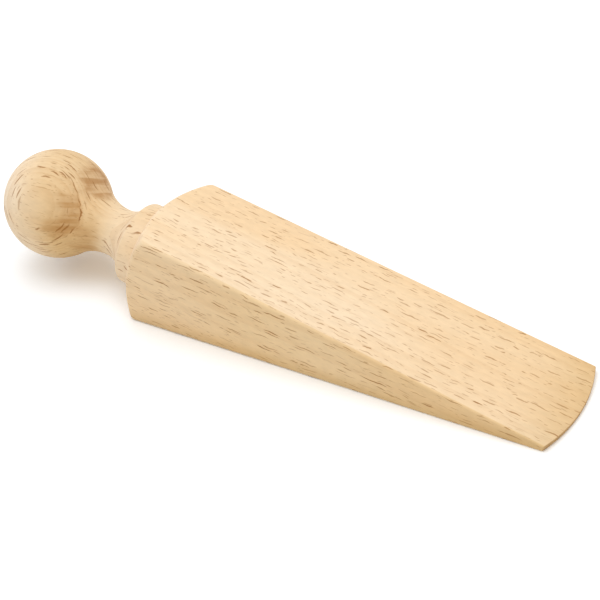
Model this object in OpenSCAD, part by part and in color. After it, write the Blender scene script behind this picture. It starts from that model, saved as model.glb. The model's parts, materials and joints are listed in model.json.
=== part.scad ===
// Beech door wedge with a turned ball knob.
//
// The wedge block is a length of square planed stock. Its thick end is turned to a dome and its
// underside is sawn away at a slant, which makes the sole that stands on the floor. The upper
// face of the stock is the door face, which a door rides up on. The knob is turned in one piece
// with a round tenon, and the tenon is glued into a socket bored in the thick end.
//
// Millimetres, +Z up, +X towards the thin tip. The origin is on the sole, below the middle of
// the thick end's corners. The knob's axis slopes down towards the tip, as the stock does.

/* [Wedge block] */
// Width and depth of the square stock
stock_w = 40; // [36:0.5:48]
// Length of the door face between its corners
face_len = 137; // [130:1:155]
// Angle between the door face and the sole, in degrees
wedge_angle = 12.9; // [12.3:0.1:14.5]
// Height of the tip's end face
tip_t = 2; // [1:0.1:4]
// Rise of the thick end's dome from the corners of the stock to the middle of its sides
dome_rise = 5.6; // [4:0.1:7]
// Rise of the tip's curved edge from its corners to its middle
tip_rise = 3.4; // [1:0.1:6]
// Radius of the eased long edges
edge_r = 0.8; // [0.3:0.1:2]

/* [Turned knob] */
// Diameter of the ball
ball_d = 37.2; // [32:0.2:40]
// Diameter of the neck at its waist
neck_d = 16.8; // [15:0.2:19]
// Diameter of the collar that sits on the dome
collar_d = 28.4; // [25:0.2:32]
// Height of the collar, from its seat to the edge of the cove
collar_h = 6.1; // [4:0.1:9]
// Radius of the cove between the collar and the waist
cove_r = 10; // [8:0.5:13]
// Distance from the waist to the middle of the ball
ball_reach = 25.2; // [24:0.2:30]
// Radius of the collar's rounded edge
lip_r = 1; // [0.4:0.1:1.5]
// Lean of the knob's axis from the stock's centre line towards the sole, in degrees
knob_lean = 1.2; // [0:0.1:2]

/* [Glued joint] */
// Diameter of the tenon
tenon_d = 12; // [9:0.5:14]
// Length of the tenon
tenon_len = 26; // [18:1:30]
// Chamfer on the tenon's end
tenon_chamfer = 1; // [0.5:0.1:2]
// Gap for glue all round the tenon
glue_gap = 0.1; // [0.05:0.01:0.2]
// Room for glue past the tenon's end
socket_spare = 2; // [1:0.5:4]

/* [Hidden] */
$fn = 128;

beech = "burlywood";
end_margin = 20; // how far the cutting shapes reach past the wood

half_w = stock_w / 2;
corner_r = half_w * sqrt(2);
knob_angle = wedge_angle - knob_lean;

// Height of the stock's centre line above the sole, at the thick end's corners
axis_h = tip_t + face_len * sin(wedge_angle) - half_w * cos(wedge_angle);

// Centre and radius of the dome: a sphere through the corners of the stock, which are at 0 on
// the knob's axis, and through the middles of its sides, which are at -dome_rise
dome_centre = (corner_r * corner_r - half_w * half_w - dome_rise * dome_rise) / (2 * dome_rise);
dome_r = sqrt(dome_centre * dome_centre + corner_r * corner_r);

// Radius of the tip's curved edge, and its centre along the door face
tip_r = (half_w * half_w + tip_rise * tip_rise) / (2 * tip_rise);
tip_centre = face_len + tip_rise - tip_r;

// The knob's profile: x is the radius and y the height above the thick end's corners
ball_r = ball_d / 2;
neck_r = neck_d / 2;
collar_r = collar_d / 2;
tenon_r = tenon_d / 2;
seat_y = sqrt(dome_r * dome_r - collar_r * collar_r) - dome_centre;
collar_top = seat_y + collar_h;
cove_x = neck_r + cove_r;
waist_y = collar_top + sqrt(cove_r * cove_r - (cove_x - collar_r) * (cove_x - collar_r));
ball_y = waist_y + ball_reach;

// Radius of the long hollow that leaves the waist level and runs onto the ball in one sweep
hollow_r = (neck_r * neck_r + ball_reach * ball_reach - ball_r * ball_r) / (2 * (ball_r - neck_r));
hollow_x = neck_r + hollow_r;

// Centre of the collar's rounded edge, which touches both the collar's side and the cove
lip_x = collar_r - lip_r;
lip_y = waist_y - sqrt((cove_r + lip_r) * (cove_r + lip_r) - (cove_x - lip_x) * (cove_x - lip_x));

// Puts a shape drawn along the knob's axis, with +X to the tip, in its place above the sole
module along_knob_axis() {
    translate([0, 0, axis_h]) rotate([0, knob_angle, 0]) children();
}

// The same for a shape drawn along the stock's own centre line
module along_stock() {
    translate([0, 0, axis_h]) rotate([0, wedge_angle, 0]) children();
}

// Turns a profile of radius and height about the knob's axis
module turned() {
    along_knob_axis() rotate([0, -90, 0]) rotate_extrude() children();
}

// Square with rounded corners, centred
module eased_square(width, radius) {
    inner = width - 2 * radius;
    square([width, inner], center = true);
    square([inner, width], center = true);
    for (x = [-inner / 2, inner / 2], y = [-inner / 2, inner / 2])
        translate([x, y]) circle(r = radius);
}

// The planed stock, with its long edges eased
module stock_bar() {
    bar_len = face_len + tip_rise + 2 * end_margin;
    along_stock()
        translate([-end_margin, 0, 0])
            rotate([90, 0, 90])
                linear_extrude(bar_len) eased_square(stock_w, edge_r);
}

// Outline of the door face, with the tip's curved edge, through the whole depth of the stock
module tip_outline() {
    along_stock()
        linear_extrude(2 * stock_w, center = true) {
            translate([-end_margin, -stock_w])
                square([tip_centre + end_margin, 2 * stock_w]);
            translate([tip_centre, 0]) circle(r = tip_r);
        }
}

// Everything above the sole, with the sole's long edges eased
module above_sole() {
    sole_len = face_len + tip_rise + 2 * end_margin;
    translate([-end_margin, 0, 0])
        rotate([90, 0, 90])
            linear_extrude(sole_len) {
                translate([0, stock_w + edge_r]) square([stock_w, 2 * stock_w], center = true);
                translate([0, stock_w / 2]) eased_square(stock_w, edge_r);
            }
}

// What the turned dome leaves of the stock: a sphere, flattened where the collar sits
module domed_end() {
    turned()
        union() {
            intersection() {
                translate([0, -dome_centre]) circle(r = dome_r);
                translate([0, -dome_centre]) square([dome_r, dome_centre + seat_y]);
            }
            translate([0, -face_len - end_margin])
                square([dome_r, face_len + end_margin - dome_centre]);
        }
}

// Socket for the tenon, from the seat down into the thick end
module socket() {
    depth = tenon_len + socket_spare;
    turned()
        translate([0, seat_y - depth]) square([tenon_r + glue_gap, depth + end_margin]);
}

module wedge_block() {
    color(beech)
        difference() {
            intersection() {
                stock_bar();
                tip_outline();
                above_sole();
                domed_end();
            }
            socket();
        }
}

// The collar, and the cove that runs from its edge in to the waist
module collar_and_cove() {
    difference() {
        polygon([
            [0, seat_y],
            [collar_r, seat_y],
            [collar_r, collar_top],
            [cove_x, waist_y],
            [0, waist_y]
        ]);
        translate([cove_x, waist_y]) circle(r = cove_r);
    }
}

// The long hollow: from the waist up to where it touches the ball
module hollow_neck() {
    difference() {
        polygon([[0, waist_y], [hollow_x, waist_y], [0, ball_y]]);
        translate([hollow_x, waist_y]) circle(r = hollow_r);
    }
}

// What is rounded away from the collar's edge
module lip_waste() {
    difference() {
        polygon([[lip_x, lip_y], [collar_r + lip_r, lip_y], [cove_x, waist_y]]);
        translate([lip_x, lip_y]) circle(r = lip_r);
    }
}

module ball_half() {
    intersection() {
        translate([0, ball_y]) circle(r = ball_r);
        translate([0, ball_y - ball_r]) square([ball_r, ball_d]);
    }
}

module tenon_half() {
    end_y = seat_y - tenon_len;
    polygon([
        [0, end_y],
        [tenon_r - tenon_chamfer, end_y],
        [tenon_r, end_y + tenon_chamfer],
        [tenon_r, seat_y],
        [0, seat_y]
    ]);
}

module knob_profile() {
    difference() {
        union() {
            tenon_half();
            collar_and_cove();
            hollow_neck();
            ball_half();
        }
        lip_waste();
    }
}

module turned_knob() {
    color(beech) turned() knob_profile();
}

wedge_block();
turned_knob();
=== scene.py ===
"""Looks of a beech door wedge with a turned ball knob.

Both pieces are surfaces worked out from the maker's dimensions, with every arris eased. Their
beech has a solid figure: ray flecks, growth rings and fibres run through the wood in three
dimensions, so that each face shows the cut that its direction gives it.
"""
import json
import math

import bpy
import numpy as np
from mathutils import Matrix, Vector


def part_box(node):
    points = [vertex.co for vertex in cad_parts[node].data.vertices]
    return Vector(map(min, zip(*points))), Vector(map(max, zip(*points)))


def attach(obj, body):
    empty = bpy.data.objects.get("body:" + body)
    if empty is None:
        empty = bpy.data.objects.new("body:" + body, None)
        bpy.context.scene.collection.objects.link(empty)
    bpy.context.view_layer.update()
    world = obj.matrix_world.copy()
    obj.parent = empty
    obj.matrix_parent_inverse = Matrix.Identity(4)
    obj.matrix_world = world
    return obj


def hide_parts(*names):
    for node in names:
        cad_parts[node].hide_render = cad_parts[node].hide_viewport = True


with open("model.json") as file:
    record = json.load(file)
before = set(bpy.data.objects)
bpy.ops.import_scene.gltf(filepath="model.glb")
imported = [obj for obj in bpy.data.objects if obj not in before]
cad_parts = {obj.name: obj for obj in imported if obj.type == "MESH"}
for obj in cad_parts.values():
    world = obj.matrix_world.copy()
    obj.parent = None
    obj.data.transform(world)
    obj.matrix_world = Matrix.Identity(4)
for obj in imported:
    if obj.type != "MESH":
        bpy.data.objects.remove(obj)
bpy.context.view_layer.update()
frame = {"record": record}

MM = 0.001
SAME_POINT = 0.0002 * MM

# ---------------------------------------------------------------- dimensions, in millimetres
door_face = next(m for m in frame["record"]["mounts"] if m["name"] == "door_face")
WEDGE_ANGLE = math.atan2(door_face["axis"][0], door_face["axis"][2])
KNOB_LIFT = math.radians(1.2)
KNOB_ANGLE = WEDGE_ANGLE - KNOB_LIFT
HALF_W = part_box("wedge_block")[1].y / MM
FACE_LEN = 137.0
TIP_T = 2.0
DOME_RISE = 5.6
TIP_RISE = 3.4

BALL_R = 18.6
NECK_R = 8.4
COLLAR_R = 14.2
COLLAR_H = 6.1
COVE_R = 10.0
BALL_REACH = 25.2
LIP_R = 1.0
FOOT_EASE = 0.25
TENON_R = 6.0
TENON_LEN = 26.0
TENON_CHAMFER = 1.0
GLUE_GAP = 0.1
SOCKET_SPARE = 2.0

# Eased arrises: the long edges fade in radius towards the thin tip
LONG_EDGE_R = 1.4
TIP_EDGE_R = 0.5
RIM_EASE = 1.6
TIP_EASE = 0.35

# What follows from them
AXIS_H = TIP_T + FACE_LEN * math.sin(WEDGE_ANGLE) - HALF_W * math.cos(WEDGE_ANGLE)
CORNER_R = HALF_W * math.sqrt(2)
DOME_CENTRE = (CORNER_R**2 - HALF_W**2 - DOME_RISE**2) / (2 * DOME_RISE)
DOME_R = math.hypot(DOME_CENTRE, CORNER_R)
TIP_R = (HALF_W**2 + TIP_RISE**2) / (2 * TIP_RISE)
TIP_CENTRE = FACE_LEN + TIP_RISE - TIP_R
SEAT_Y = math.sqrt(DOME_R**2 - COLLAR_R**2) - DOME_CENTRE
COVE_X = NECK_R + COVE_R
WAIST_Y = SEAT_Y + COLLAR_H + math.sqrt(COVE_R**2 - (COVE_X - COLLAR_R) ** 2)
BALL_Y = WAIST_Y + BALL_REACH
HOLLOW_R = (NECK_R**2 + BALL_REACH**2 - BALL_R**2) / (2 * (BALL_R - NECK_R))
HOLLOW_X = NECK_R + HOLLOW_R
LIP_X = COLLAR_R - LIP_R
LIP_Y = WAIST_Y - math.sqrt((COVE_R + LIP_R) ** 2 - (COVE_X - LIP_X) ** 2)


def slant(points, angle):
    """Turns points about Y by angle, so that +X dips to the floor, and lifts them by AXIS_H."""
    x, y, z = np.moveaxis(np.asarray(points, float), -1, 0)
    c, s = math.cos(angle), math.sin(angle)
    return np.stack([x * c + z * s, y, z * c - x * s + AXIS_H], -1)


def unslant(points, angle):
    """The reverse of slant: from the floor's frame to one that lies along the wood."""
    x, y, z = np.moveaxis(np.asarray(points, float), -1, 0)
    c, s = math.cos(angle), math.sin(angle)
    z = z - AXIS_H
    return np.stack([x * c - z * s, y, x * s + z * c], -1)


# ---------------------------------------------------------------- meshes
def grid_piece(name, rows, material):
    """A closed piece from rows of points, shape (rows, columns, 3), in millimetres.

    Columns run round and join up, and rows run from one closed end to the other. Points that
    fall together, at the poles and along the tip's middle, are merged.
    """
    n_rows, n_cols = rows.shape[:2]
    index = np.arange(n_rows * n_cols).reshape(n_rows, n_cols)
    here, right = index, np.roll(index, -1, axis=1)
    quads = np.stack([here[:-1], right[:-1], right[1:], here[1:]], -1).reshape(-1, 4)
    flat = rows.reshape(-1, 3) * MM

    key = np.round(flat / SAME_POINT).astype(np.int64)
    _, first, merged = np.unique(key, axis=0, return_index=True, return_inverse=True)
    quads = merged.reshape(-1)[quads]
    faces = []
    for quad in quads.tolist():
        corners = [v for k, v in enumerate(quad) if v != quad[k - 1]]
        if len(corners) >= 3 and len(set(corners)) == len(corners):
            faces.append(corners)
    mesh = bpy.data.meshes.new(name)
    mesh.from_pydata(flat[first].tolist(), [], faces)
    mesh.validate()
    mesh.polygons.foreach_set("use_smooth", np.ones(len(mesh.polygons), bool))
    mesh.materials.append(material)
    mesh.update()
    piece = bpy.data.objects.new(name, mesh)
    bpy.context.scene.collection.objects.link(piece)
    return piece


def arc(centre, radius, start, end, count):
    """Points on a circle from angle start to angle end, in degrees, both ends included."""
    a = np.radians(np.linspace(start, end, count))
    return np.stack([centre[0] + radius * np.cos(a), centre[1] + radius * np.sin(a)], -1)


def knob_profile():
    """Radius and height from the tenon's end to the ball's pole: straight runs with an eased
    foot, then four arcs that touch each other: lip, cove, hollow and ball."""
    end_y = SEAT_Y - TENON_LEN
    lip_end = math.degrees(math.atan2(WAIST_Y - LIP_Y, COVE_X - LIP_X))
    ball_start = math.degrees(math.atan2(WAIST_Y - BALL_Y, HOLLOW_X))
    run = np.linspace
    return np.concatenate([
        run((0, end_y), (TENON_R - TENON_CHAMFER, end_y), 4),
        run((TENON_R - TENON_CHAMFER, end_y), (TENON_R, end_y + TENON_CHAMFER), 3)[1:],
        run((TENON_R, end_y + 1.2 * TENON_CHAMFER), (TENON_R, SEAT_Y), 6),
        run((TENON_R + 0.1, SEAT_Y), (COLLAR_R - FOOT_EASE, SEAT_Y), 6),
        arc((COLLAR_R - FOOT_EASE, SEAT_Y + FOOT_EASE), FOOT_EASE, -90, 0, 5)[1:],
        run((COLLAR_R, SEAT_Y + 2 * FOOT_EASE), (COLLAR_R, LIP_Y - 0.2), 5),
        arc((LIP_X, LIP_Y), LIP_R, 0, lip_end, 12),
        arc((COVE_X, WAIST_Y), COVE_R, lip_end + 180, 180, 28)[1:],
        arc((HOLLOW_X, WAIST_Y), HOLLOW_R, 180, 180 + ball_start, 28)[1:],
        arc((0, BALL_Y), BALL_R, ball_start, 90, 64)[1:],
    ])


def knob_surface(columns=192):
    """The profile turned about the knob's axis: at angle t a point of radius r and height h is
    (-h, r cos t, r sin t), then slanted with the knob."""
    profile = knob_profile()
    t = np.linspace(0, 2 * math.pi, columns, endpoint=False)
    radius, height = profile[:, :1], profile[:, 1:]
    flat = np.stack([
        np.broadcast_to(-height, (len(profile), columns)),
        radius * np.cos(t),
        radius * np.sin(t),
    ], -1)
    flat[np.isclose(profile[:, 0], 0), :, 1:] = 0
    return slant(flat, KNOB_ANGLE)


def stock_outline(x, radius, across=34, up=16):
    """The section of the wedge at x along the stock, as points of y and z: a box between the
    door face and the sole, its corners rounded. Each face's points begin just past its corners,
    so that it shades flat."""
    top = HALF_W
    bottom = (x * math.sin(WEDGE_ANGLE) - AXIS_H) / math.cos(WEDGE_ANGLE)
    guard = 0.01

    def spread(low, high, count):
        return low + (high - low) * np.linspace(guard, 1 - guard, count)

    def edge(y, z):
        return np.stack(np.broadcast_arrays(y, z), -1)

    y_in, z_top, z_low = HALF_W - radius, top - radius, bottom + radius
    y_run = spread(-y_in, y_in, across)
    z_run = spread(z_low, z_top, up)
    return np.concatenate([
        edge(y_run, top),
        arc((y_in, z_top), radius, 90, 0, 9),
        edge(HALF_W, z_run[::-1]),
        arc((y_in, z_low), radius, 0, -90, 9),
        edge(y_run[::-1], bottom),
        arc((-y_in, z_low), radius, -90, -180, 9),
        edge(-HALF_W, z_run),
        arc((-y_in, z_top), radius, 180, 90, 9),
    ])


def eased(start, corner, end, steps):
    """A corner rounded by a quadratic curve: (1-t)^2 start + 2t(1-t) corner + t^2 end."""
    t = np.linspace(0, 1, steps)[:, None, None]
    return (1 - t) ** 2 * start + 2 * t * (1 - t) * corner + t**2 * end


def step_from(start, target, distance):
    """The points that lie distance from start on the way to target, at most halfway there."""
    way = target - start
    length = np.linalg.norm(way, axis=-1, keepdims=True)
    return start + way * np.minimum(distance / np.maximum(length, 1e-9), 0.5)


def on_dome(points):
    """Moves points along the knob's axis onto the dome, a sphere of DOME_R about DOME_CENTRE."""
    flat = unslant(points, KNOB_ANGLE)
    flat[..., 0] = DOME_CENTRE - np.sqrt(DOME_R**2 - flat[..., 1] ** 2 - flat[..., 2] ** 2)
    return slant(flat, KNOB_ANGLE)


def on_tip(points):
    """Moves points along the stock onto the tip's end, a cylinder square to the door face."""
    flat = unslant(points, WEDGE_ANGLE)
    flat[..., 0] = TIP_CENTRE + np.sqrt(TIP_R**2 - flat[..., 1] ** 2)
    return slant(flat, WEDGE_ANGLE)


def meet_dome(start, way):
    """Where lines start + k way enter the dome's sphere: the smaller root of a quadratic."""
    p = unslant(start, KNOB_ANGLE)
    d = unslant(start + way, KNOB_ANGLE) - p
    p = p - np.array([DOME_CENTRE, 0, 0])
    a, b, c = (d * d).sum(-1), 2 * (p * d).sum(-1), (p * p).sum(-1) - DOME_R**2
    k = (-b - np.sqrt(b * b - 4 * a * c)) / (2 * a)
    return start + k[:, None] * way


def meet_tip(start, way):
    """Where lines start + k way leave the tip's cylinder: the larger root of a quadratic."""
    p = unslant(start, WEDGE_ANGLE)
    d = unslant(start + way, WEDGE_ANGLE) - p
    px, py, dx, dy = p[:, 0] - TIP_CENTRE, p[:, 1], d[:, 0], d[:, 1]
    a, b, c = dx * dx + dy * dy, 2 * (px * dx + py * dy), px * px + py * py - TIP_R**2
    k = (-b + np.sqrt(b * b - 4 * a * c)) / (2 * a)
    return start + k[:, None] * way


def wedge_surface():
    """The wedge block as rows of points from the bottom of the socket, out over the seat, the
    dome and its eased rim, along the four faces and in over the tip's end.

    Each column is a straight line along the wood between two rounded box outlines, cut off by
    the dome at one end and by the tip's cylinder at the other.
    """
    beyond_dome = -12.0
    ends = []
    for x, radius in ((beyond_dome, LONG_EDGE_R), (FACE_LEN, TIP_EDGE_R)):
        outline = stock_outline(x, radius)
        ends.append(slant(np.insert(outline, 0, x, axis=1), WEDGE_ANGLE))
    start, way = ends[0], ends[1] - ends[0]
    rim, tip_rim = meet_dome(start, way), meet_tip(start, way)

    # Round the knob's axis, at the angle of each column
    flat_rim = unslant(rim, KNOB_ANGLE)
    turn = np.arctan2(flat_rim[:, 2], flat_rim[:, 1])

    def ring(radius, height):
        points = [np.full(len(turn), -height), radius * np.cos(turn), radius * np.sin(turn)]
        return slant(np.stack(points, -1), KNOB_ANGLE)

    # Rings a crease's width from each inner corner keep its shading crisp
    crease = 0.3
    socket_r = TENON_R + GLUE_GAP
    socket_y = SEAT_Y - TENON_LEN - SOCKET_SPARE
    inside = [ring(r, y) for r, y in (
        (0.0, socket_y), (0.7 * socket_r, socket_y), (socket_r, socket_y),
        (socket_r, socket_y + crease), (socket_r, SEAT_Y - crease), (socket_r, SEAT_Y),
        (socket_r + crease, SEAT_Y), (COLLAR_R - crease / 2, SEAT_Y), (COLLAR_R, SEAT_Y),
    )]

    seat_edge = ring(COLLAR_R, SEAT_Y)
    dome_end = on_dome(step_from(rim, seat_edge, RIM_EASE))
    share = np.concatenate([[0.01], np.linspace(0.06, 0.94, 14), [0.985, 1.0]])[:, None, None]
    dome = on_dome(seat_edge + share * (dome_end - seat_edge))

    face_start = step_from(rim, tip_rim, RIM_EASE)
    face_end = step_from(tip_rim, rim, TIP_EASE)
    share = np.concatenate([[0.0, 0.003], np.linspace(0.03, 0.97, 32), [0.997, 1.0]])
    share = share[:, None, None]
    faces = face_start + share * (face_end - face_start)

    # The tip's end closes on the middle line of its thin section
    flat_tip = unslant(tip_rim, WEDGE_ANGLE)
    half_tip = (flat_tip[:, 2].max() - flat_tip[:, 2].min()) / 2
    middle = flat_tip.copy()
    middle[:, 1] = np.clip(middle[:, 1], half_tip - HALF_W, HALF_W - half_tip)
    sole_z = (flat_tip[:, 0] * math.sin(WEDGE_ANGLE) - AXIS_H) / math.cos(WEDGE_ANGLE)
    middle[:, 2] = (HALF_W + sole_z) / 2
    middle = on_tip(slant(middle, WEDGE_ANGLE))
    tip_start = on_tip(step_from(tip_rim, middle, TIP_EASE))
    share = np.array([0.05, 0.5, 1.0])[:, None, None]
    tip_end = on_tip(tip_start + share * (middle - tip_start))

    return np.concatenate([
        np.stack(inside),
        dome,
        eased(dome_end, rim, face_start, 9)[1:-1],
        faces,
        eased(face_end, tip_rim, tip_start, 7)[1:],
        tip_end,
    ])


# ---------------------------------------------------------------- beech
def wood_directions(fibre_rise, fibre_turn, ring_rise):
    """Unit vectors across the rays, along the fibres and through the growth rings, square to
    each other. The fibres run along the stock, rise by fibre_rise towards the tip and turn away
    from the near side by fibre_turn. The rings face the near side, tipped up by ring_rise."""
    c, s = math.cos(WEDGE_ANGLE - fibre_rise), math.sin(WEDGE_ANGLE - fibre_rise)
    straight, up, near = Vector((c, 0, -s)), Vector((s, 0, c)), Vector((0, -1, 0))
    across = up * math.cos(ring_rise) - near * math.sin(ring_rise)
    rings = near * math.cos(ring_rise) + up * math.sin(ring_rise)
    fibre = straight * math.cos(fibre_turn) - rings * math.sin(fibre_turn)
    rings = rings * math.cos(fibre_turn) + straight * math.sin(fibre_turn)
    return [tuple(way) for way in (across, fibre, rings)]


def new_group(name, inputs, outputs):
    """A shader node group with the sockets named in inputs and outputs, and its two end nodes."""
    group = bpy.data.node_groups.new(name, "ShaderNodeTree")
    for label, kind, value in inputs:
        socket = group.interface.new_socket(label, in_out="INPUT", socket_type=kind)
        if value is not None:
            socket.default_value = value
    for label, kind in outputs:
        group.interface.new_socket(label, in_out="OUTPUT", socket_type=kind)
    source = group.nodes.new("NodeGroupInput")
    sink = group.nodes.new("NodeGroupOutput")
    return group, source, sink


class Tree:
    """Short ways to add nodes to one tree. They return the outputs that hold the result."""

    def __init__(self, tree):
        self.nodes, self.links = tree.nodes, tree.links

    def put(self, socket, value):
        """Links another node's output to the socket, or writes a plain value into it. None
        leaves the socket as it is."""
        if isinstance(value, bpy.types.NodeSocket):
            self.links.new(value, socket)
        elif value is not None:
            socket.default_value = value

    def math(self, operation, a, b=None, c=None):
        node = self.nodes.new("ShaderNodeMath")
        node.operation = operation
        for socket, value in zip(node.inputs, (a, b, c)):
            self.put(socket, value)
        return node.outputs[0]

    def times(self, first, *others):
        """The product of all the values."""
        for other in others:
            first = self.math("MULTIPLY", first, other)
        return first

    def vector(self, operation, a, b=None, scale=None):
        node = self.nodes.new("ShaderNodeVectorMath")
        node.operation = operation
        self.put(node.inputs[0], a)
        self.put(node.inputs[1], b)
        self.put(node.inputs[3], scale)
        return node.outputs["Value" if operation in ("DOT_PRODUCT", "LENGTH") else "Vector"]

    def combine(self, x, y, z):
        node = self.nodes.new("ShaderNodeCombineXYZ")
        for socket, value in zip(node.inputs, (x, y, z)):
            self.put(socket, value)
        return node.outputs[0]

    def separate(self, vector):
        """The three parts of a vector."""
        node = self.nodes.new("ShaderNodeSeparateXYZ")
        self.put(node.inputs[0], vector)
        return node.outputs

    def noise(self, place, waves=(1, 1, 1), detail=2.0, roughness=0.5):
        """Smooth noise from 0 to 1, with so many waves to a unit of place along each axis."""
        node = self.nodes.new("ShaderNodeTexNoise")
        self.put(node.inputs["Vector"], self.vector("MULTIPLY", place, waves))
        node.inputs["Scale"].default_value = 1.0
        node.inputs["Detail"].default_value = detail
        node.inputs["Roughness"].default_value = roughness
        return node.outputs["Fac"]

    def wobble(self, size, place, waves, detail=2.0):
        """Smooth noise from -size / 2 to size / 2."""
        return self.times(self.math("SUBTRACT", self.noise(place, waves, detail), 0.5), size)

    def white(self, vector):
        """A chance value and a chance colour for each place."""
        node = self.nodes.new("ShaderNodeTexWhiteNoise")
        self.put(node.inputs["Vector"], vector)
        return node.outputs["Value"], node.outputs["Color"]

    def ramp(self, value, low, high, to_low=0.0, to_high=1.0, smooth=True):
        """Takes low to to_low and high to to_high, and stays level outside them."""
        node = self.nodes.new("ShaderNodeMapRange")
        node.interpolation_type = "SMOOTHSTEP" if smooth else "LINEAR"
        for label, number in (("Value", value), ("From Min", low), ("From Max", high),
                              ("To Min", to_low), ("To Max", to_high)):
            self.put(node.inputs[label], number)
        return node.outputs["Result"]

    def between(self, chance, low, high):
        """Takes a chance from 0 to 1 to a value from low to high."""
        return self.ramp(chance, 0, 1, low, high, smooth=False)

    def mix(self, factor, a, b, blend="MIX"):
        node = self.nodes.new("ShaderNodeMix")
        node.data_type = "RGBA"
        node.blend_type = blend
        self.put(node.inputs["Factor"], factor)
        self.put(node.inputs["A"], a)
        self.put(node.inputs["B"], b)
        return node.outputs["Result"]

    def along_axes(self, place, origin, axes):
        """The place in millimetres from the origin, measured along three unit vectors."""
        from_origin = self.vector("SCALE", self.vector("SUBTRACT", place, origin), scale=1 / MM)
        return self.combine(*[self.vector("DOT_PRODUCT", from_origin, way) for way in axes])

    def group(self, name, **values):
        """A node of the named group, with inputs set by name, _ standing for a space."""
        node = self.nodes.new("ShaderNodeGroup")
        node.node_tree = bpy.data.node_groups[name]
        for label, value in values.items():
            self.put(node.inputs[label.replace("_", " ")], value)
        return node.outputs


def fleck_group():
    """Thin spindles of ray tissue, in a Share of the bricks of a wall laid through the wood.

    A brick is Gap across, Length along the fibres and Breadth through the rings, and the wall's
    rows and layers wander. The bricks of a row and layer start at a chance place, up to Scatter
    bricks on, and Stagger moves them on by a fixed share of a brick from row to row and from
    layer to layer. Each fleck has its own place in its brick, tilt, size and depth of colour. At
    u across, v along and w through, from its middle and in shares of its half sizes, it fades
    out while sqrt(u^2 + w^2) + v^2 goes from 0.5 to 1.1.
    """
    group, source, sink = new_group(
        "Flecks",
        [("Wood Place", "NodeSocketVector", None), ("Gap", "NodeSocketFloat", 1.0),
         ("Length", "NodeSocketFloat", 8.0), ("Breadth", "NodeSocketFloat", 1.0),
         ("Half Across", "NodeSocketFloat", 0.2), ("Half Through", "NodeSocketFloat", 0.2),
         ("Wander", "NodeSocketFloat", 2.0), ("Share", "NodeSocketFloat", 0.7),
         ("Scatter", "NodeSocketFloat", 23.0), ("Stagger", "NodeSocketFloat", 0.0),
         ("Seed", "NodeSocketFloat", 0.0)],
        [("Mask", "NodeSocketFloat")])
    # Shares of a brick from one to the next, how many layers on a row may start, and a stride
    # that gives each layer's bricks chances of their own
    row_stagger, layer_stagger = 0.382, 0.53
    layer_scatter, layer_stride = 37.0, 7.3
    t = Tree(group)
    given = source.outputs
    place = given["Wood Place"]
    x, y, z = t.separate(place)

    # The wandering rows, layers and bricks that a point lies in
    sway = t.wobble(given["Wander"], place, (0.08, 0.03, 0.03), detail=1.0)
    ripple = t.wobble(1.3, place, (0.28, 0.24, 0.12))
    wave = t.wobble(1.15, place, (0.1, 0.34, 0.2), detail=1.0)
    x = t.math("ADD", x, t.math("ADD", ripple, sway))
    z = t.math("ADD", z, wave)
    rows = t.math("DIVIDE", x, given["Gap"])
    row = t.math("FLOOR", rows)
    row_chance = t.white(t.combine(row, given["Seed"], 0.5))[0]
    layers = t.math("MULTIPLY_ADD", row_chance, layer_scatter,
                    t.math("DIVIDE", z, given["Breadth"]))
    layer = t.math("FLOOR", layers)
    start = t.white(t.combine(row, layer, given["Seed"]))[0]
    bricks = t.math("MULTIPLY_ADD", start, given["Scatter"], t.math("DIVIDE", y, given["Length"]))
    order = t.math("MULTIPLY_ADD", row, row_stagger, t.times(layer, layer_stagger))
    bricks = t.math("MULTIPLY_ADD", order, given["Stagger"], bricks)
    brick = t.math("MULTIPLY_ADD", layer, layer_stride, t.math("FLOOR", bricks))
    first, chances = t.white(t.combine(row, brick, given["Seed"]))
    one, two, three = t.separate(chances)

    # The point as seen from the middle of the brick's own fleck, which is tilted a little
    v = t.math("SUBTRACT", t.math("FRACT", bricks), t.between(one, 0.38, 0.62))
    u = t.math("SUBTRACT", t.math("FRACT", rows), t.between(two, 0.3, 0.7))
    w = t.math("SUBTRACT", t.math("FRACT", layers), t.between(three, 0.35, 0.65))
    u = t.math("MULTIPLY_ADD", v, t.between(three, -0.25, 0.25), u)
    size = t.between(one, 0.7, 1.3)
    half_u = t.math("DIVIDE", t.times(given["Half Across"], size), given["Gap"])
    half_w = t.math("DIVIDE", t.times(given["Half Through"], size), given["Breadth"])
    half_v = t.between(two, 0.2, 0.42)
    round_it = t.vector("LENGTH", t.combine(t.math("DIVIDE", u, half_u),
                                            t.math("DIVIDE", w, half_w), 0.0))
    along = t.math("POWER", t.math("DIVIDE", v, half_v), 2.0)
    body = t.ramp(t.math("ADD", round_it, along), 1.1, 0.5)

    low = t.math("SUBTRACT", 1.0, given["Share"])
    depth = t.times(t.math("GREATER_THAN", first, low),
                    t.ramp(first, low, 1.0, 0.55, 1.0, smooth=False))
    t.put(sink.inputs["Mask"], t.times(body, depth))


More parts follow.
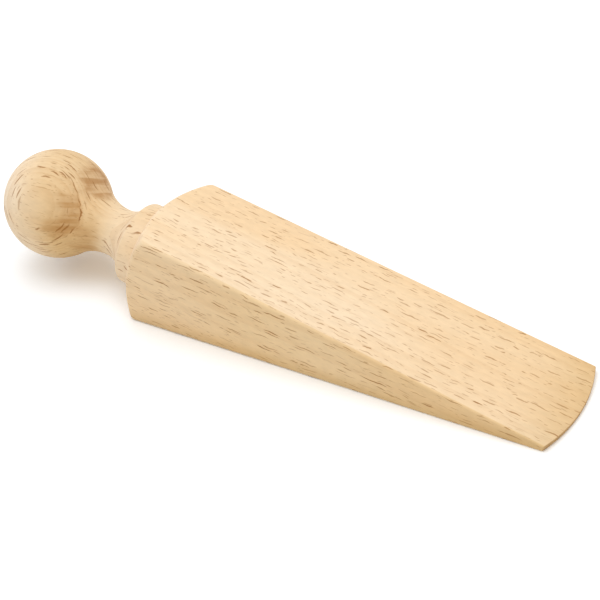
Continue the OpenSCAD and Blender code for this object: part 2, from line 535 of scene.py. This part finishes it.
def ring_group():
    """Growth rings: a saw-tooth through the rings that darkens slowly towards the bark and drops
    back at once, its line bent by noise and its depth set year by year."""
    group, source, sink = new_group(
        "Growth Rings",
        [("Wood Place", "NodeSocketVector", None), ("Ring Width", "NodeSocketFloat", 3.4)],
        [("Late Wood", "NodeSocketFloat")])
    t = Tree(group)
    place = source.outputs["Wood Place"]
    inwards = t.times(t.separate(place)[2], -1.0)
    bent = t.math("ADD", t.wobble(5.0, place, (0.05, 0.012, 0.12)), inwards)
    years = t.math("DIVIDE", bent, source.outputs["Ring Width"])
    part = t.math("FRACT", years)
    late = t.times(t.ramp(part, 0.3, 0.93), t.ramp(part, 1.0, 0.95))
    chance = t.white(t.combine(t.math("FLOOR", years), 0.5, 0.5))[0]
    t.put(sink.inputs["Late Wood"], t.times(late, t.between(chance, 0.25, 1.0)))


def brown_year_group():
    """Growth that is browner than the rest, from End through the rings for Width.

    Line is a thin dark line at the End, broken by noise, that fades out between Reach and twice
    Reach from the Middle. Brown fills the first half of the Width and fades through the rest,
    within a ragged Reach of the Middle. It is streaked by noise that is slow along the fibres
    and through the rings, and across them follows the product of the place and Streaks.
    """
    group, source, sink = new_group(
        "Brown Year",
        [("Wood Place", "NodeSocketVector", None), ("End", "NodeSocketFloat", 0.0),
         ("Width", "NodeSocketFloat", 4.0), ("Middle", "NodeSocketVector", None),
         ("Reach", "NodeSocketFloat", 8.0), ("Streaks", "NodeSocketVector", None)],
        [("Line", "NodeSocketFloat"), ("Brown", "NodeSocketFloat")])
    t = Tree(group)
    given = source.outputs
    place, width, reach = given["Wood Place"], given["Width"], given["Reach"]
    z = t.separate(place)[2]
    bent = t.math("ADD", t.wobble(1.6, place, (0.3, 0.16, 0.3), detail=3.0), z)
    past = t.math("SUBTRACT", bent, given["End"])
    away = t.vector("LENGTH", t.vector("SUBTRACT", place, given["Middle"]))

    line = t.ramp(t.math("ABSOLUTE", past), 0.2, 0.03)
    strength = t.ramp(t.noise(place, (0.35, 0.35, 0.05)), 0.35, 0.6)
    near_line = t.ramp(away, t.times(reach, 2.0), reach)
    t.put(sink.inputs["Line"], t.times(line, strength, near_line))

    year = t.times(t.ramp(past, -0.1, 0.1), t.ramp(past, width, t.times(width, 0.5)))
    away = t.math("ADD", t.wobble(reach, place, (0.25, 0.12, 0.25)), away)
    near = t.ramp(away, reach, t.times(reach, 0.5))
    _, y, z = t.separate(t.vector("SCALE", place, scale=0.05))
    through = t.vector("DOT_PRODUCT", place, given["Streaks"])
    streaks = t.ramp(t.noise(t.combine(through, y, z)), 0.4, 0.58, 0.5, 1.0)
    t.put(sink.inputs["Brown"], t.times(near, year, streaks))


def fibre_group():
    """Fine fibre streaks, long along the grain and thin across it, from 0 to 1."""
    group, source, sink = new_group(
        "Fibres", [("Wood Place", "NodeSocketVector", None)], [("Streak", "NodeSocketFloat")])
    t = Tree(group)
    place = source.outputs["Wood Place"]
    fine = t.noise(place, (4.0, 0.22, 4.0), detail=3.0, roughness=0.6)
    broad = t.noise(place, (0.7, 0.05, 0.7))
    t.put(sink.inputs["Streak"], t.math("MULTIPLY_ADD", fine, 0.6, t.times(broad, 0.4)))


def srgb(red, green, blue):
    """A colour written as 0 to 255 in sRGB, as linear light with an alpha of 1."""
    c = np.array([red, green, blue]) / 255
    linear = np.where(c <= 0.04045, c / 12.92, ((c + 0.055) / 1.055) ** 2.4)
    return (*linear.tolist(), 1.0)


# Colours that are mixed in
PALE_WOOD = srgb(250, 224, 188)
WARM_WOOD = srgb(247, 216, 174)
LATE_WOOD = srgb(214, 168, 112)
RAY_WOOD = srgb(158, 103, 42)
END_WOOD = srgb(246, 218, 196)
BROWN_YEAR = srgb(192, 144, 84)
BROWN_STREAK = srgb(178, 127, 68)

# Tints that the colour is multiplied by, some of them partly or wholly painted shade
FLAT_CUT_AND_SHADE_TINT = (0.95, 0.925, 0.855, 1.0)
HEARTWOOD_TINT = (0.98, 0.935, 0.86, 1.0)
SAPWOOD_TINT = (1.01, 1.04, 1.1, 1.0)
SIDE_AND_SHADE_TINT = (0.97, 0.935, 0.84, 1.0)
FLOOR_EDGE_SHADE_TINT = (0.86, 0.82, 0.71, 1.0)
TIP_TINT = (0.95, 0.925, 0.855, 1.0)
TIP_END_GRAIN_AND_SHADE_TINT = (0.72, 0.62, 0.45, 1.0)
KNOB_TINT = (0.955, 0.98, 1.0, 1.0)
BALL_TINT = (0.93, 0.87, 0.755, 1.0)
KNOB_LOW_BROWN_AND_SHADE_TINT = (0.93, 0.88, 0.72, 1.0)

# How the wood lies in the pieces
RING_RISE = math.radians(32)
BLOCK_FIBRE_RISE = math.radians(3.6)
KNOB_FIBRE_RISE = math.radians(8)
KNOB_FIBRE_TURN = math.radians(13)


class Beech(Tree):
    """Sanded, unfinished beech, its colour made in a chain of tints and stains.

    The wood's places are in millimetres from its middle, along its three directions. Broad noise
    moves between two pale browns, end grain and late wood stain them, and fibres and a faint
    mottle shade them. The piece adds its own tints, stains and flecks and then calls finish.
    """

    def __init__(self, name, middle, directions, seed):
        self.material = bpy.data.materials.new(name)
        self.material.use_nodes = True
        super().__init__(self.material.node_tree)
        coords = self.nodes.new("ShaderNodeTexCoord")
        _, fibre, rings = directions
        normal = coords.outputs["Normal"]
        self.place = coords.outputs["Object"]
        self.wood = self.along_axes(self.place, middle, directions)

        # How squarely the cut faces the rings and the ends of the fibres
        self.faces_rings = self.math("ABSOLUTE", self.vector("DOT_PRODUCT", normal, rings))
        faces_fibres = self.math("ABSOLUTE", self.vector("DOT_PRODUCT", normal, fibre))
        self.end = self.ramp(faces_fibres, 0.25, 0.95)

        # The colour of the plain wood
        self.late = self.group("Growth Rings", Wood_Place=self.wood)["Late Wood"]
        self.streak = self.group("Fibres", Wood_Place=self.wood)["Streak"]
        broad = self.noise(self.wood, (0.05, 0.012, 0.05), detail=1.0)
        self.colour = self.mix(self.ramp(broad, 0.35, 0.65), PALE_WOOD, WARM_WOOD)
        self.stain(END_WOOD, self.end, 0.16)
        self.stain(LATE_WOOD, self.late, self.math("MULTIPLY_ADD", self.end, 0.2, 0.16))
        mottle = self.noise(self.wood, (0.7, 0.28, 0.7), roughness=0.6)
        shade = self.times(self.ramp(self.streak, 0.3, 0.7, 0.985, 1.01, smooth=False),
                           self.ramp(mottle, 0.25, 0.75, 0.95, 1.045, smooth=False))
        self.tint(self.combine(shade, shade, shade))

        # Small flecks, and long faint ones in chains
        self.small = self.long_flecks(
            Gap=0.8, Length=7.0, Breadth=0.8, Half_Across=0.15, Half_Through=0.18,
            Wander=4.0, Share=0.65, Seed=seed + 5)
        self.chains = self.long_flecks(
            Gap=1.3, Length=22.0, Breadth=1.1, Half_Across=0.18, Half_Through=0.22,
            Wander=4.0, Share=0.8, Seed=seed + 9)

    def tint(self, tint, *shares):
        """Multiplies the colour by a tint, by the product of the shares."""
        share = self.times(*shares) if shares else 1.0
        self.colour = self.mix(share, self.colour, tint, blend="MULTIPLY")

    def stain(self, stain, *shares):
        """Mixes another colour in, by the product of the shares."""
        self.colour = self.mix(self.times(*shares), self.colour, stain)

    def long_flecks(self, **sizes):
        """Flecks that grow faint where the cut faces the ends of the fibres."""
        mask = self.group("Flecks", Wood_Place=self.wood, **sizes)["Mask"]
        return self.times(mask, self.math("MULTIPLY_ADD", self.end, -0.8, 1.0))

    def finish(self, flecks):
        """Joins the colour to the shader, and sinks and roughens the flecks a little."""
        shader = next(n for n in self.nodes if n.type == "BSDF_PRINCIPLED")
        shader.inputs["Specular IOR Level"].default_value = 0.3
        self.put(shader.inputs["Base Color"], self.colour)
        self.put(shader.inputs["Roughness"], self.ramp(flecks, 0.0, 1.0, 0.58, 0.72))
        bump = self.nodes.new("ShaderNodeBump")
        bump.inputs["Strength"].default_value = 0.35
        bump.inputs["Distance"].default_value = 0.06 * MM
        self.put(bump.inputs["Height"],
                 self.math("MULTIPLY_ADD", flecks, -0.6, self.times(self.streak, 0.5)))
        self.put(shader.inputs["Normal"], bump.outputs["Normal"])
        return self.material


def block_wood():
    """The wedge's beech, with evenly staggered dashes of ray tissue that late wood deepens.

    Away from the thick end it grows paler towards the sapwood and browner towards the heart. Its
    flat-sawn sides are yellower and darker, most of all away from the dome: partly their own
    colour and partly painted shade. Its tip is browner. The tip's end is browner end grain
    darkened further by painted shade, and the lower edge is darker and browner with painted shade
    where it meets the floor.
    """
    directions = wood_directions(BLOCK_FIBRE_RISE, 0.0, RING_RISE)
    t = Beech("Beech Block", (0, 0, 0), directions, 0.0)
    dashes = t.long_flecks(
        Gap=0.9, Length=13.5, Breadth=0.95, Half_Across=0.18, Half_Through=0.36,
        Wander=3.0, Share=1.0, Scatter=0.3, Stagger=1.0, Seed=0.0)
    _, along, through = t.separate(t.wood)
    height = t.separate(t.place)[2]
    flat_cut = t.ramp(t.faces_rings, 0.55, 0.8)

    # Partly the flat-sawn sides' own colour and partly painted shade: the sides are yellower and
    # darker than the door face.
    t.tint(FLAT_CUT_AND_SHADE_TINT, flat_cut)
    sapwood = t.ramp(through, 1.0, 28.0, smooth=False)
    t.tint(t.mix(sapwood, HEARTWOOD_TINT, SAPWOOD_TINT), t.ramp(along, 5.0, 75.0))
    # Partly the sides' own colour and partly painted shade: the sides grow yellower and darker
    # away from the dome.
    t.tint(SIDE_AND_SHADE_TINT, flat_cut, t.ramp(along, 5.0, 45.0))
    t.tint(TIP_TINT, t.ramp(along, 85.0, 138.0, smooth=False),
           t.ramp(through, 16.0, -6.0, 0.4, 1.0, smooth=False))
    # Painted shade where the wood meets the floor: darker and browner within 6 mm of it.
    t.tint(FLOOR_EDGE_SHADE_TINT, t.ramp(height, 6.0 * MM, 0.1 * MM))
    # The tip's end grain is browner, darkened further by painted shade.
    t.tint(TIP_END_GRAIN_AND_SHADE_TINT, t.end, t.ramp(along, 120.0, 130.0))

    t.stain(RAY_WOOD, t.chains, 0.2)
    t.stain(RAY_WOOD, t.small, 0.46)
    t.stain(RAY_WOOD, dashes, t.math("MULTIPLY_ADD", t.late, 0.35, 0.57),
            t.math("MULTIPLY_ADD", flat_cut, 0.14, 1.0))
    return t.finish(t.math("MAXIMUM", dashes, t.times(t.small, 0.5)))


def knob_wood():
    """The knob's beech, measured from the ball's centre, with its bull's eye on the near side.

    Broad flecks lie in the rings. Three brown years stain the ball, and the lower one is edged
    by a dark line. The ball is browner than the neck, but its pole end is left paler as a painted
    reflection of the white surroundings. Low down near the neck it is darker still, partly
    browner wood and partly painted shade where the block and floor shut out the light.
    """
    directions = wood_directions(KNOB_FIBRE_RISE, KNOB_FIBRE_TURN, RING_RISE)
    ball = Vector(slant((-BALL_Y, 0, 0), KNOB_ANGLE).tolist()) * MM
    t = Beech("Beech Knob", ball, directions, 3.0)
    x, y, z = t.separate(t.wood)
    in_rings = t.group("Flecks", Wood_Place=t.combine(z, y, x), Gap=0.75, Length=8.0,
                       Breadth=6.5, Half_Across=0.2, Half_Through=2.9, Wander=1.0,
                       Share=0.6, Seed=6.0)["Mask"]
    in_rings = t.times(in_rings, t.ramp(t.faces_rings, 0.99, 0.9))
    rings = t.group("Growth Rings", Wood_Place=t.wood, Ring_Width=1.25)["Late Wood"]
    lower = t.group("Brown Year", Wood_Place=t.wood, End=13.3, Width=5.0,
                    Middle=(-1.5, 8.0, 15.5), Reach=9.5, Streaks=(0.5, -0.13, 0.0))
    beyond = t.group("Brown Year", Wood_Place=t.wood, End=0.0, Width=22.0,
                     Middle=(-6.0, 14.5, 7.0), Reach=9.0, Streaks=(0.5, -0.13, 0.0))
    shifted = t.combine(t.math("SUBTRACT", x, 1.6), y, z)
    upper = t.group("Brown Year", Wood_Place=shifted, End=-2.0, Width=24.0,
                    Middle=(10.0, 12.0, 4.5), Reach=9.5, Streaks=(0.5, -0.14, 0.0))

    t.tint(KNOB_TINT)
    # The ball's tint fades out towards its pole, which is left paler as a painted reflection of
    # the white surroundings.
    slanting = t.math("MULTIPLY_ADD", x, 0.3, y)
    ball_less_pole_reflection = t.times(t.ramp(slanting, -10.0, 5.0), t.ramp(y, 26.0, 16.0))
    t.tint(BALL_TINT, ball_less_pole_reflection)
    # Low on the ball near the neck: browner wood and painted shade where the block and floor shut
    # out the light.
    t.tint(KNOB_LOW_BROWN_AND_SHADE_TINT, t.ramp(x, 6.0, -13.0), t.ramp(y, -2.0, 9.0), ball_less_pole_reflection)

    t.stain(LATE_WOOD, rings, ball_less_pole_reflection, 0.38)
    t.stain(BROWN_YEAR, beyond["Brown"], 0.68)
    t.stain(BROWN_YEAR, lower["Brown"], 0.85)
    t.stain(BROWN_STREAK, t.math("POWER", upper["Brown"], 1.4), 0.75)
    t.stain(RAY_WOOD, t.chains, 0.4)
    t.stain(RAY_WOOD, t.small, 0.45)
    t.stain(RAY_WOOD, in_rings, 0.9)
    t.stain(RAY_WOOD, lower["Line"], 0.85)
    return t.finish(t.math("MAXIMUM", in_rings, lower["Line"]))


# ---------------------------------------------------------------- camera, light and floor
CAMERA_AZIMUTH = math.radians(33.94)
CAMERA_ELEVATION = math.radians(35.20)
CAMERA_ROLL = math.radians(5.0)
CAMERA_LENS = 77.7
CAMERA_DISTANCE = 0.4349
CAMERA_OFFSET = (-0.0402, -0.0026)

FLOOR_REACH = 3.0
FLOOR_LIT = (0.84, 0.83, 0.82, 1.0)
FLOOR_SEEN = (1.1, 1.13, 1.15, 1.0)
SKY = (1.0, 0.96, 0.89, 1.0)
SKY_STRENGTH = 0.75


def add_camera():
    """Looks at the origin from the azimuth and elevation, is turned by the roll, and stands so
    that the origin lies at CAMERA_OFFSET, right and down from the middle of the view."""
    a, e = CAMERA_AZIMUTH, CAMERA_ELEVATION
    back = Vector((math.sin(a) * math.cos(e), -math.cos(a) * math.cos(e), math.sin(e)))
    right = Vector((math.cos(a), math.sin(a), 0))
    up = back.cross(right)
    turned_right = right * math.cos(CAMERA_ROLL) - up * math.sin(CAMERA_ROLL)
    turned_up = up * math.cos(CAMERA_ROLL) + right * math.sin(CAMERA_ROLL)
    place = (back * CAMERA_DISTANCE - turned_right * CAMERA_OFFSET[0]
             + turned_up * CAMERA_OFFSET[1])
    data = bpy.data.cameras.new("Camera")
    data.lens = CAMERA_LENS
    data.sensor_width = 36.0
    data.clip_start = 0.01
    camera = bpy.data.objects.new("Camera", data)
    turn = Matrix((turned_right, turned_up, back)).transposed()
    camera.matrix_world = Matrix.Translation(place) @ turn.to_4x4()
    bpy.context.scene.collection.objects.link(camera)
    bpy.context.scene.camera = camera


def add_soft_lamp(name, place, target, size, watts, colour):
    """A square area lamp that faces its target, all in metres."""
    data = bpy.data.lights.new(name, "AREA")
    data.size = size
    data.energy = watts
    data.color = colour
    lamp = bpy.data.objects.new(name, data)
    lamp.location = place
    way = Vector(target) - Vector(place)
    lamp.rotation_mode = "QUATERNION"
    lamp.rotation_quaternion = way.to_track_quat("-Z", "Y")
    bpy.context.scene.collection.objects.link(lamp)


def add_floor():
    """A wide pale floor. The camera sees it a step lighter than it lights the wood from below,
    so that it is white outside the soft shadow."""
    material = bpy.data.materials.new("Floor")
    material.use_nodes = True
    tree = material.node_tree
    tree.nodes.clear()
    t = Tree(tree)
    path = tree.nodes.new("ShaderNodeLightPath")
    paint = tree.nodes.new("ShaderNodeBsdfDiffuse")
    t.put(paint.inputs["Color"], t.mix(path.outputs["Is Camera Ray"], FLOOR_LIT, FLOOR_SEEN))
    sink = tree.nodes.new("ShaderNodeOutputMaterial")
    t.put(sink.inputs["Surface"], paint.outputs[0])
    r = FLOOR_REACH
    mesh = bpy.data.meshes.new("Floor")
    mesh.from_pydata([(-r, -r, 0), (r, -r, 0), (r, r, 0), (-r, r, 0)], [], [(0, 1, 2, 3)])
    mesh.materials.append(material)
    floor = bpy.data.objects.new("Floor", mesh)
    bpy.context.scene.collection.objects.link(floor)


def add_world():
    """Even, slightly warm light from all round, seen at full strength by the camera and in
    reflections."""
    world = bpy.data.worlds.new("World")
    bpy.context.scene.world = world
    world.use_nodes = True
    tree = world.node_tree
    t = Tree(tree)
    sky = next(n for n in tree.nodes if n.type == "BACKGROUND")
    sky.inputs["Color"].default_value = SKY
    path = tree.nodes.new("ShaderNodeLightPath")
    seen = t.math("MAXIMUM", path.outputs["Is Camera Ray"], path.outputs["Is Glossy Ray"])
    t.put(sky.inputs["Strength"], t.between(seen, SKY_STRENGTH, 1.0))


# ---------------------------------------------------------------- the scene
add_camera()
add_world()
add_floor()
add_soft_lamp("Overhead", place=(-0.05, 0.0, 1.2), target=(0.03, 0.0, 0.0), size=1.0,
              watts=5.35, colour=(0.95, 0.98, 1.06))
add_soft_lamp("Left", place=(-1.0, -0.1, 0.35), target=(-0.06, 0.0, 0.02), size=0.9,
              watts=2.6, colour=(0.3, 0.55, 1.0))

for build_group in (fleck_group, ring_group, brown_year_group, fibre_group):
    build_group()
for name, surface, wood, node in (
        ("wedge_block_wood", wedge_surface(), block_wood(), "wedge_block"),
        ("turned_knob_wood", knob_surface(), knob_wood(), "turned_knob")):
    piece = grid_piece(name, surface, wood)
    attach(piece, "root")
    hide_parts(node)

bpy.context.scene.view_settings.view_transform = "Standard"
